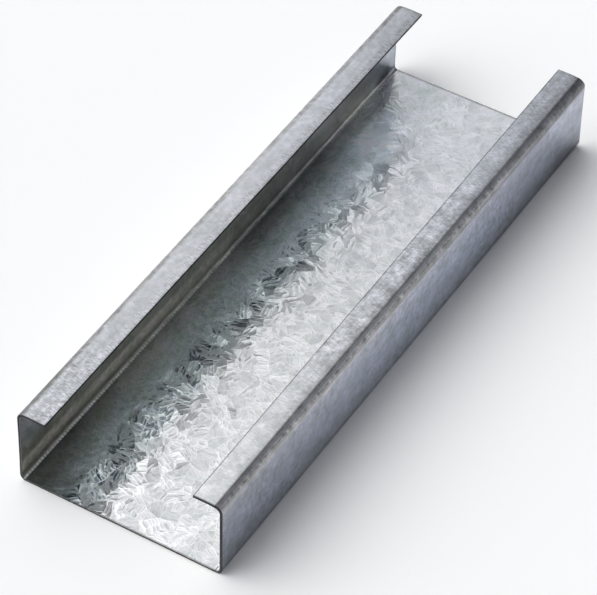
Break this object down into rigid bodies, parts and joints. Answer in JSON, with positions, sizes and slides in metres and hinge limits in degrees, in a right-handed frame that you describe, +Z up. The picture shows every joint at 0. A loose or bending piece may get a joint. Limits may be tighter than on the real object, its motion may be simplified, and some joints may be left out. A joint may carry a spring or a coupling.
{
  "type": "steel stud",
  "caption": "Short cut length of cold-formed galvanized C-stud: flat web, two flanges and inturned lips, for light framing.",
  "frame": {"origin": "underside of the web, midway across it and midway along the length", "axes": "+Y along the stud's length, +Z up from the web to the lips, +X across the web"},
  "size_m": [0.1016, 0.314, 0.0413],
  "materials": {
    "galvanized_sheet": "hot-dip zinc coat with large feathery spangles, bare steel on the cut ends"
  },
  "bodies": {
    "root": {"stud": "galvanized_sheet"}
  },
  "joints": []
}
